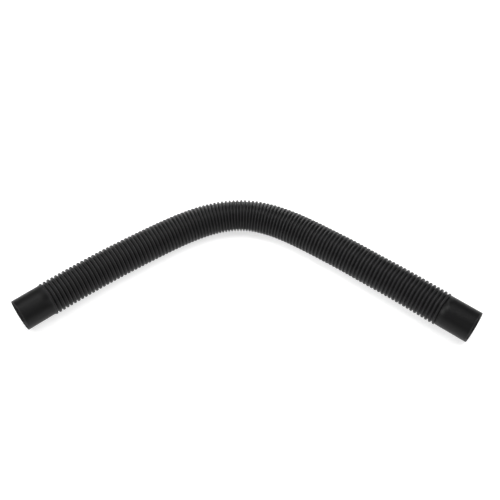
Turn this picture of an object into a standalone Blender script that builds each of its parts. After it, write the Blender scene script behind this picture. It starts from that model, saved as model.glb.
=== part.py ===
"""Warm air outlet hose: one blow-moulded tube with ring-shaped ribs and a plain cuff at each end.

It lies on the surface it was laid on, bent once. Metres, +Z up, the origin under the middle of its box.
"""
import math

import bmesh
import bpy
import numpy as np
from mathutils import Matrix, Vector

# Section of the tube
CREST_DIAMETER = 0.100
ROOT_DIAMETER = 0.089
CUFF_DIAMETER = 0.094
WALL = 0.0012
SIDES = 12

# Lengths along the tube
LEFT_CUFF_LENGTH = 0.084
RIGHT_CUFF_LENGTH = 0.095
RIB_COUNT = 114
STRAIGHT_PITCH = 0.0121

# In the bend the ribs are pushed together and the section is a little narrower from side to side
BEND_PITCH = 0.0107
BEND_WIDTH_SHARE = 0.96
BEND_MIDDLE_RIB = 52
BEND_SPREAD_RIBS = 19.5

# Plan of the centre line, from the left end to the right end
ROUTE = [
    (-0.634, -0.172), (-0.569, -0.119), (-0.503, -0.067), (-0.436, -0.016), (-0.368, 0.033),
    (-0.299, 0.080), (-0.228, 0.126), (-0.155, 0.166), (-0.076, 0.194), (0.007, 0.199),
    (0.088, 0.176), (0.162, 0.137), (0.232, 0.091), (0.301, 0.043), (0.368, -0.007),
    (0.436, -0.057), (0.502, -0.108), (0.568, -0.160), (0.634, -0.211),
]
ROUTE_STEPS = 24

HOSE_COLOUR = (0.028, 0.028, 0.030, 1.0)
HOSE_ROUGHNESS = 0.45
SMOOTH_ANGLE = math.radians(40)


def clear_scene():
    for item in list(bpy.data.objects):
        bpy.data.objects.remove(item, do_unlink=True)


def smooth_route(points, steps):
    """Natural cubic spline through the points, as a fine polyline."""
    points = np.array(points)
    count = len(points)
    weights = np.eye(count)
    bends = np.zeros_like(points)
    for i in range(1, count - 1):
        weights[i, i - 1:i + 2] = (1, 4, 1)
        bends[i] = 6 * (points[i - 1] - 2 * points[i] + points[i + 1])
    bends = np.linalg.solve(weights, bends)
    line = []
    for i in range(count - 1):
        for t in np.arange(steps) / steps:
            back = 1 - t
            line.append(back * points[i] + t * points[i + 1]
                        + ((back**3 - back) * bends[i] + (t**3 - t) * bends[i + 1]) / 6)
    line.append(points[-1])
    return np.array(line)


class CentreLine:
    """The route by its length: where a place along it lies, and which way it points there."""

    def __init__(self, points, steps):
        self.line = smooth_route(points, steps)
        chords = np.diff(self.line, axis=0)
        sizes = np.linalg.norm(chords, axis=1)
        self.lengths = np.concatenate([[0], np.cumsum(sizes)])
        self.middles = self.lengths[:-1] + sizes / 2
        self.headings = np.unwrap(np.arctan2(chords[:, 1], chords[:, 0]))

    def frame(self, place, height):
        """Matrix with X across the tube, Y up and Z along it. Past its ends the route runs straight on."""
        on_line = min(max(place, 0), self.lengths[-1])
        heading = np.interp(on_line, self.middles, self.headings)
        along = Vector((math.cos(heading), math.sin(heading), 0))
        spot = Vector((np.interp(on_line, self.lengths, self.line[:, 0]),
                       np.interp(on_line, self.lengths, self.line[:, 1]), height))
        spot += along * (place - on_line)
        up = Vector((0, 0, 1))
        return Matrix.Translation(spot) @ Matrix((up.cross(along), up, along)).transposed().to_4x4()


def bend_share(rib):
    """1 at the middle of the bend, falling to 0 along the arms."""
    return math.exp(-((rib - BEND_MIDDLE_RIB) / BEND_SPREAD_RIBS) ** 2)


def stations():
    """Rings from the left end to the right end: place along the tube, radius, width share."""
    cuff, crest, root = CUFF_DIAMETER / 2, CREST_DIAMETER / 2, ROOT_DIAMETER / 2
    rings = [(0.0, cuff, 1.0), (LEFT_CUFF_LENGTH, cuff, 1.0)]
    place = LEFT_CUFF_LENGTH + STRAIGHT_PITCH / 2
    for rib in range(RIB_COUNT):
        width = 1 - (1 - BEND_WIDTH_SHARE) * bend_share(rib)
        rings.append((place, crest, width))
        if rib < RIB_COUNT - 1:
            gap = rib + 0.5
            pitch = STRAIGHT_PITCH - (STRAIGHT_PITCH - BEND_PITCH) * bend_share(gap)
            rings.append((place + pitch / 2, root, 1 - (1 - BEND_WIDTH_SHARE) * bend_share(gap)))
            place += pitch
    place += STRAIGHT_PITCH / 2
    rings += [(place, cuff, 1.0), (place + RIGHT_CUFF_LENGTH, cuff, 1.0)]
    return rings


def hose_material():
    material = bpy.data.materials.new("black_plastic")
    material.use_nodes = True
    shader = material.node_tree.nodes["Principled BSDF"]
    shader.inputs["Base Color"].default_value = HOSE_COLOUR
    shader.inputs["Roughness"].default_value = HOSE_ROUGHNESS
    shader.inputs["Metallic"].default_value = 0.0
    return material


def build_hose():
    """Outer skin, ring by ring along the route, with its wall turned inwards."""
    route = CentreLine(ROUTE, ROUTE_STEPS)
    skin = bmesh.new()
    last_edges = []
    for place, radius, width in stations():
        frame = route.frame(place, CREST_DIAMETER / 2) @ Matrix.Diagonal((width, 1, 1, 1))
        ring = bmesh.ops.create_circle(skin, segments=SIDES, radius=radius, matrix=frame)["verts"]
        edges = list({edge for vert in ring for edge in vert.link_edges})
        if last_edges:
            bmesh.ops.bridge_loops(skin, edges=last_edges + edges)
        last_edges = edges
    bmesh.ops.recalc_face_normals(skin, faces=skin.faces)
    mesh = bpy.data.meshes.new("hose")
    skin.to_mesh(mesh)
    skin.free()
    mesh.materials.append(hose_material())
    mesh.shade_smooth()
    mesh.set_sharp_from_angle(angle=SMOOTH_ANGLE)
    hose = bpy.data.objects.new("hose", mesh)
    bpy.context.scene.collection.objects.link(hose)
    wall = hose.modifiers.new("wall", "SOLIDIFY")
    wall.thickness = WALL
    wall.offset = -1
    wall.use_even_offset = True
    return hose


clear_scene()
build_hose()
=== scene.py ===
import math

import bmesh
import bpy
import numpy as np
from mathutils import Matrix, Vector


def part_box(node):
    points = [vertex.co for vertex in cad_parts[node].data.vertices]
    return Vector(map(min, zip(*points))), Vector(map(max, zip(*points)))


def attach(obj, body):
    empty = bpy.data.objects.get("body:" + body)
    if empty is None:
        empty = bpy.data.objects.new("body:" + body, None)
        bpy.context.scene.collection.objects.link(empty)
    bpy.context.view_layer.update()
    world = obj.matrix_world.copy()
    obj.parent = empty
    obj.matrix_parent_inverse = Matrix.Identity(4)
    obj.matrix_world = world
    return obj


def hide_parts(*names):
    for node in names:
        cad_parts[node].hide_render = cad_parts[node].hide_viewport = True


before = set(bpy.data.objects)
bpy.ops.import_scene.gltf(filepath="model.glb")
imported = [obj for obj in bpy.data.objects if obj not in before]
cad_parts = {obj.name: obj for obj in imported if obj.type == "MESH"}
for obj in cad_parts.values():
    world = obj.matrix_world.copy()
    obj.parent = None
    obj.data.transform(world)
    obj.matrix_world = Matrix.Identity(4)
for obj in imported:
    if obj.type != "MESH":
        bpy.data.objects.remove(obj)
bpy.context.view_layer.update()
hoseLow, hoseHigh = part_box("hose")
print("frame loaded, hose box", [round(b - a, 4) for a, b in zip(hoseLow, hoseHigh)])

# hose: the tube, its ribs and the way it lies
hose = {
    "crestDiameter": 0.100,
    "rootDiameter": 0.089,
    "cuffDiameter": 0.094,
    "wall": 0.0012,
    "lip": 0.0004,                  # rounding of the cut ends
    "leftCuff": 0.084,
    "rightCuff": 0.095,
    "ribs": 114,
    "pitch": 0.0121,
    "crestShare": 0.30,             # of the pitch, flat on top of each rib
    "flankShare": 0.20,             # of the pitch, each side of a rib
    "bendRib": 55,                  # middle of the bend
    "bendSpread": 19.5,             # and its reach to each side, in ribs
    "bendPitch": 0.0107,            # there the ribs are pushed together
    "bendWidth": 0.96,              # and the tube is narrower from side to side
    "cuffTone": 0.08,               # lightness of the cuffs, on the scale from the painted groove shade (0) to the crest (1)
    "boreTone": 1.00,               # the same inside the cuffs
    "rimHighlightTone": 0.90,                # and on the cut ends, which get a painted highlight
    "rimWidth": (0.0015, 0.0030),   # from a cut end, where the painted highlight starts and stops fading
    "route": [
        (-0.634, -0.172), (-0.569, -0.119), (-0.503, -0.067), (-0.436, -0.016), (-0.368, 0.033),
        (-0.299, 0.080), (-0.228, 0.126), (-0.155, 0.166), (-0.076, 0.194), (0.007, 0.199),
        (0.088, 0.176), (0.162, 0.137), (0.232, 0.091), (0.301, 0.043), (0.368, -0.007),
        (0.436, -0.057), (0.502, -0.108), (0.568, -0.160), (0.634, -0.211),
    ],
    "routeSteps": 24,
    "pathPoints": 200,
    "exitSide": 0.024,              # the cord's exit, to the side of the left mouth's middle
    "sides": 56,
    "cuffRings": 6,
    "outerTurns": (0.0, 0.12, 0.19, 0.25, 0.31, 0.38, 0.5, 0.62, 0.69, 0.75, 0.81, 0.88),   # rings of a rib
    "innerTurns": (0.0, 0.28, 0.72),
    "innerLead": 0.07,              # the inner grooves are this much wider, as a share of the pitch
    "mergeDistance": 0.00001,
}


def smoothRoute(points, steps):
    # natural cubic spline through the points, as a fine polyline
    points = np.array(points)
    count = len(points)
    weights = np.eye(count)
    bends = np.zeros_like(points)
    for i in range(1, count - 1):
        weights[i, i - 1:i + 2] = (1, 4, 1)
        bends[i] = 6 * (points[i - 1] - 2 * points[i] + points[i + 1])
    bends = np.linalg.solve(weights, bends)
    line = []
    for i in range(count - 1):
        for t in np.arange(steps) / steps:
            back = 1 - t
            line.append(back * points[i] + t * points[i + 1]
                        + ((back**3 - back) * bends[i] + (t**3 - t) * bends[i + 1]) / 6)
    line.append(points[-1])
    return np.array(line)


class CentreLine:
    # the route by its length: where a place along it lies, and which way it points there
    def __init__(self, points, steps):
        self.line = smoothRoute(points, steps)
        chords = np.diff(self.line, axis=0)
        sizes = np.linalg.norm(chords, axis=1)
        self.lengths = np.concatenate([[0], np.cumsum(sizes)])
        self.middles = self.lengths[:-1] + sizes / 2
        self.headings = np.unwrap(np.arctan2(chords[:, 1], chords[:, 0]))

    def frameAt(self, place, height):
        # X across the tube, Y up, Z along it; past its ends the route runs straight on
        onLine = min(max(place, 0), self.lengths[-1])
        heading = np.interp(onLine, self.middles, self.headings)
        along = Vector((math.cos(heading), math.sin(heading), 0))
        spot = Vector((np.interp(onLine, self.lengths, self.line[:, 0]),
                       np.interp(onLine, self.lengths, self.line[:, 1]), height))
        spot += along * (place - onLine)
        up = Vector((0, 0, 1))
        return Matrix.Translation(spot) @ Matrix((up.cross(along), up, along)).transposed().to_4x4()


def bendShare(rib):
    # 1 at the middle of the bend, falling to 0 along the arms
    return math.exp(-((rib - hose["bendRib"]) / hose["bendSpread"]) ** 2)


def ribStarts():
    # place of each crest along the tube, and the place of the hose's far end
    place = hose["leftCuff"] + hose["pitch"] / 2
    places = [place]
    for rib in range(hose["ribs"] - 1):
        place += hose["pitch"] - (hose["pitch"] - hose["bendPitch"]) * bendShare(rib + 0.5)
        places.append(place)
    return places, place + hose["pitch"] / 2 + hose["rightCuff"]


def grooveShare(turn):
    # how deep the skin lies at a turn of the rib: 0 on the crest, 1 in the groove
    slope = (min(turn, 1 - turn) - hose["crestShare"] / 2) / hose["flankShare"]
    slope = min(max(slope, 0), 1)
    return slope * slope * (3 - 2 * slope)


def skinRings(turns, inset, lead, cuffTone):
    # (place, radius, width share, painted lightness: 0 where the grooves get painted shade, 1 on the crest)
    # of each ring of a skin that lies inset below the outside
    crest, root = hose["crestDiameter"] / 2 - inset, hose["rootDiameter"] / 2 - inset
    cuff = hose["cuffDiameter"] / 2 - inset
    starts, end = ribStarts()
    half = hose["pitch"] / 2
    rings = []
    for share in np.linspace(0, 1, hose["cuffRings"]):
        rings.append((share * hose["leftCuff"], cuff, 1.0, cuffTone))
    for rib, start in enumerate(starts):
        isLast = rib == len(starts) - 1
        gap = half if isLast else starts[rib + 1] - start
        for turn in turns:
            if isLast and turn >= 0.5:
                break
            groove = grooveShare(turn + lead if turn < 0.5 else turn - lead) if turn else 0
            width = 1 - (1 - hose["bendWidth"]) * bendShare(rib + turn)
            place = start + turn * (hose["pitch"] if isLast else gap)
            # the deeper a ring lies in the groove, the more painted shade it gets
            rings.append((place, crest - groove * (crest - root), width, 1 - groove))
    for share in np.linspace(0, 1, hose["cuffRings"]):
        rings.append((end - (1 - share) * hose["rightCuff"], cuff, 1.0, cuffTone))
    return rings


def wallRings():
    # the closed wall's rings: out along the outside, round the right lip, back inside, round the left lip
    outer = skinRings(hose["outerTurns"], 0, 0, hose["cuffTone"])
    inner = skinRings(hose["innerTurns"], hose["wall"], hose["innerLead"], hose["boreTone"])
    lip, wall, rimHighlight, fade = hose["lip"], hose["wall"], hose["rimHighlightTone"], hose["cuffTone"]
    near, far = hose["rimWidth"]
    left, right = outer[0][0], outer[-1][0]
    rim = outer[0][1]
    # the cut ends and a thin band beside them get a painted highlight, fading to the cuffs' lightness
    leftEdge = [(left + lip, rim, 1.0, rimHighlight), (left + near, rim, 1.0, rimHighlight),
                (left + far, rim, 1.0, fade)]
    rightEdge = [(right - far, rim, 1.0, fade), (right - near, rim, 1.0, rimHighlight),
                 (right - lip, rim, 1.0, rimHighlight)]
    outer = leftEdge + outer[1:-1] + rightEdge
    inner[0], inner[-1] = (left + lip, rim - wall, 1.0, rimHighlight), (right - lip, rim - wall, 1.0, rimHighlight)
    rightLip = [(right, rim - lip, 1.0, rimHighlight), (right, rim - wall + lip, 1.0, rimHighlight)]
    leftLip = [(left, rim - wall + lip, 1.0, rimHighlight), (left, rim - lip, 1.0, rimHighlight)]
    return outer + rightLip + inner[::-1] + leftLip


def makeHose(route):
    # a grid with a column for each ring, closed into the tube's wall
    rings = wallRings()
    height = hose["crestDiameter"] / 2
    mesh = bmesh.new()
    mesh.loops.layers.uv.new("UVMap")
    paintedShadeLayer = mesh.verts.layers.float.new("ribPaintedShade")
    bmesh.ops.create_grid(mesh, x_segments=len(rings), y_segments=hose["sides"], size=0.5, calc_uvs=True)
    frames = [route.frameAt(ring[0], height) for ring in rings]
    mesh.verts.ensure_lookup_table()
    for vert in mesh.verts:
        ring = round((vert.co.x + 0.5) * len(rings)) % len(rings)
        angle = (vert.co.y + 0.5) * 2 * math.pi
        # each ring's painted shade is stored on its vertices, for the material to read
        _, radius, width, vert[paintedShadeLayer] = rings[ring]
        vert.co = frames[ring] @ Vector((radius * width * math.cos(angle), radius * math.sin(angle), 0))
    bmesh.ops.remove_doubles(mesh, verts=mesh.verts, dist=hose["mergeDistance"])
    bmesh.ops.recalc_face_normals(mesh, faces=mesh.faces)
    piece = bpy.data.objects.new("ribbed_hose", bpy.data.meshes.new("ribbed_hose"))
    mesh.to_mesh(piece.data)
    mesh.free()
    piece.data.shade_smooth()
    bpy.context.scene.collection.objects.link(piece)
    print("hose made,", len(rings), "rings,", len(piece.data.polygons) * 2, "triangles")
    return piece


# plastic: black, blow-moulded, with a soft sheen
plastic = {
    "grooveShadeColour": (0.0016, 0.0016, 0.0017, 1.0),
    "crestColour": (0.0160, 0.0158, 0.0164, 1.0),   # the plastic's colour on the crests; the grooves are painted ten times darker, as shade
    "specular": 0.175,
    "roughness": (0.38, 0.46),
    "blotchScale": 14.0,
    "blotchDetail": 4,
    "blotchShare": 0.12,
    "grainScale": 900.0,
    "grainDetail": 2,
    "grainDepth": 0.00004,
}


def makePlastic():
    material = bpy.data.materials.new("black_plastic")
    material.use_nodes = True
    nodes, links = material.node_tree.nodes, material.node_tree.links
    shader = nodes["Principled BSDF"]
    shader.inputs["Specular IOR Level"].default_value = plastic["specular"]
    coords = nodes.new("ShaderNodeTexCoord")

    # colour: pale on the crests, with painted shade darkening the grooves, and faint blotches
    ribPaintedShade = nodes.new("ShaderNodeAttribute")
    ribPaintedShade.attribute_name = "ribPaintedShade"
    blotch = nodes.new("ShaderNodeTexNoise")
    blotch.inputs["Scale"].default_value = plastic["blotchScale"]
    blotch.inputs["Detail"].default_value = plastic["blotchDetail"]
    links.new(coords.outputs["Object"], blotch.inputs["Vector"])
    shadeAndBlotches = nodes.new("ShaderNodeMath")
    shadeAndBlotches.operation = "MULTIPLY_ADD"
    shadeAndBlotches.inputs[1].default_value = plastic["blotchShare"]
    links.new(blotch.outputs["Fac"], shadeAndBlotches.inputs[0])
    links.new(ribPaintedShade.outputs["Fac"], shadeAndBlotches.inputs[2])
    tint = nodes.new("ShaderNodeMix")
    tint.data_type = "RGBA"
    tint.inputs["A"].default_value = plastic["grooveShadeColour"]
    tint.inputs["B"].default_value = plastic["crestColour"]
    links.new(shadeAndBlotches.outputs["Value"], tint.inputs["Factor"])
    links.new(tint.outputs["Result"], shader.inputs["Base Color"])

    # sheen: the paler blotches are a little duller
    sheen = nodes.new("ShaderNodeMapRange")
    sheen.inputs["To Min"].default_value, sheen.inputs["To Max"].default_value = plastic["roughness"]
    links.new(blotch.outputs["Fac"], sheen.inputs["Value"])
    links.new(sheen.outputs["Result"], shader.inputs["Roughness"])

    # grain of the moulded skin
    grain = nodes.new("ShaderNodeTexNoise")
    grain.inputs["Scale"].default_value = plastic["grainScale"]
    grain.inputs["Detail"].default_value = plastic["grainDetail"]
    links.new(coords.outputs["Object"], grain.inputs["Vector"])
    bump = nodes.new("ShaderNodeBump")
    bump.inputs["Distance"].default_value = plastic["grainDepth"]
    links.new(grain.outputs["Fac"], bump.inputs["Height"])
    links.new(bump.outputs["Normal"], shader.inputs["Normal"])
    return material


# studio: a pale floor that glows like a light table, and softboxes round it
studio = {
    "floorSize": 16.0,
    "floorColour": (0.62, 0.62, 0.62, 1.0),
    "floorRoughness": 0.9,
    "glowColour": (1.0, 1.0, 1.0, 1.0),
    "floorGlow": (0.62, 1.10),      # under the hose, and round the floor's edge
    "glowReach": (1.2, 2.6),        # from the middle, where that change lies
    "worldColour": (1.0, 1.0, 1.0, 1.0),
    "worldStrength": (0.19, 1.0),   # as a light, and as the backdrop
    "softboxes": {                  # place, aim, width, height, brightness
        "right": ((2.01, 0.0, 2.23), (0.0, 0.0, 0.0), 1.6, 2.7, 2.85),
        "left": ((-2.60, 0.0, 1.50), (0.0, 0.0, 0.0), 1.6, 1.3, 6.2),
        "leftTop": ((-0.70, 0.40, 1.50), (-0.3, 0.0, 0.0), 0.7, 0.7, 3.3),
        "top": ((0.0, 0.15, 1.30), (0.0, 0.1, 0.0), 0.6, 0.6, 5.9),
        "back": ((0.0, 1.25, 0.45), (0.0, 0.1, 0.05), 0.8, 0.5, 8.0),
        "front": ((0.0, -2.43, 1.76), (0.0, 0.0, 0.0), 1.6, 1.3, 2.1),
    },
}


def makeFloor():
    mesh = bmesh.new()
    bmesh.ops.create_grid(mesh, x_segments=1, y_segments=1, size=studio["floorSize"] / 2)
    floor = bpy.data.objects.new("floor", bpy.data.meshes.new("floor"))
    mesh.to_mesh(floor.data)
    mesh.free()
    material = bpy.data.materials.new("pale_floor")
    material.use_nodes = True
    nodes, links = material.node_tree.nodes, material.node_tree.links
    shader = nodes["Principled BSDF"]
    shader.inputs["Base Color"].default_value = studio["floorColour"]
    shader.inputs["Roughness"].default_value = studio["floorRoughness"]
    shader.inputs["Emission Color"].default_value = studio["glowColour"]
    coords = nodes.new("ShaderNodeTexCoord")
    distance = nodes.new("ShaderNodeVectorMath")
    distance.operation = "LENGTH"
    glow = nodes.new("ShaderNodeMapRange")
    glow.interpolation_type = "SMOOTHSTEP"
    glow.inputs["From Min"].default_value, glow.inputs["From Max"].default_value = studio["glowReach"]
    glow.inputs["To Min"].default_value, glow.inputs["To Max"].default_value = studio["floorGlow"]
    links.new(coords.outputs["Object"], distance.inputs[0])
    links.new(distance.outputs["Value"], glow.inputs["Value"])
    links.new(glow.outputs["Result"], shader.inputs["Emission Strength"])
    floor.data.materials.append(material)
    bpy.context.scene.collection.objects.link(floor)
    print("floor made")


def makeSoftbox(name, place, aim, width, height, brightness):
    data = bpy.data.lights.new(name, "AREA")
    data.shape = "RECTANGLE"
    data.size, data.size_y = width, height
    data.energy = math.pi * width * height * brightness
    light = bpy.data.objects.new(name, data)
    light.location = place
    light.rotation_euler = (Vector(aim) - Vector(place)).to_track_quat("-Z", "Y").to_euler()
    light.visible_camera = False
    bpy.context.scene.collection.objects.link(light)


def makeStudio():
    world = bpy.data.worlds.new("studio")
    world.use_nodes = True
    nodes, links = world.node_tree.nodes, world.node_tree.links
    background = nodes["Background"]
    background.inputs["Color"].default_value = studio["worldColour"]
    rays = nodes.new("ShaderNodeLightPath")
    strength = nodes.new("ShaderNodeMapRange")
    asLight, asBackdrop = studio["worldStrength"]
    strength.inputs["To Min"].default_value = asLight
    strength.inputs["To Max"].default_value = asBackdrop
    links.new(rays.outputs["Is Camera Ray"], strength.inputs["Value"])
    links.new(strength.outputs["Result"], background.inputs["Strength"])
    bpy.context.scene.world = world
    for name, values in studio["softboxes"].items():
        makeSoftbox(name, *values)
    print("studio lit")


# camera: above and in front of the hose, looking down at the bend
camera = {
    "aim": (0.0184, 0.0846, 0.050),
    "elevation": 51.42,
    "distance": 2.156,
    "lens": 51.14,
    "sensorWidth": 36,
    "shift": (-0.0044, -0.0114),
}


def makeCamera():
    data = bpy.data.cameras.new("camera")
    data.lens = camera["lens"]
    data.sensor_width = camera["sensorWidth"]
    data.shift_x, data.shift_y = camera["shift"]
    elevation = math.radians(camera["elevation"])
    back = Vector((0, -math.cos(elevation), math.sin(elevation)))
    eye = bpy.data.objects.new("camera", data)
    eye.location = Vector(camera["aim"]) + back * camera["distance"]
    eye.rotation_euler = (-back).to_track_quat("-Z", "Y").to_euler()
    bpy.context.scene.collection.objects.link(eye)
    bpy.context.scene.camera = eye
    print("camera set")


makeCamera()
route = CentreLine(hose["route"], hose["routeSteps"])
hosePiece = makeHose(route)
hosePiece.data.materials.append(makePlastic())
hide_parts("hose")
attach(hosePiece, "root")

# the hose's length, its centre line as points, and the frame where it starts at the left mouth
hoseLength = ribStarts()[1]
axisHeight = hose["crestDiameter"] / 2
path = [route.frameAt(place, axisHeight).translation
        for place in np.linspace(0, hoseLength, hose["pathPoints"])]
mouth = route.frameAt(0, axisHeight)
makeFloor()
makeStudio()
bpy.context.scene.view_settings.view_transform = "Standard"
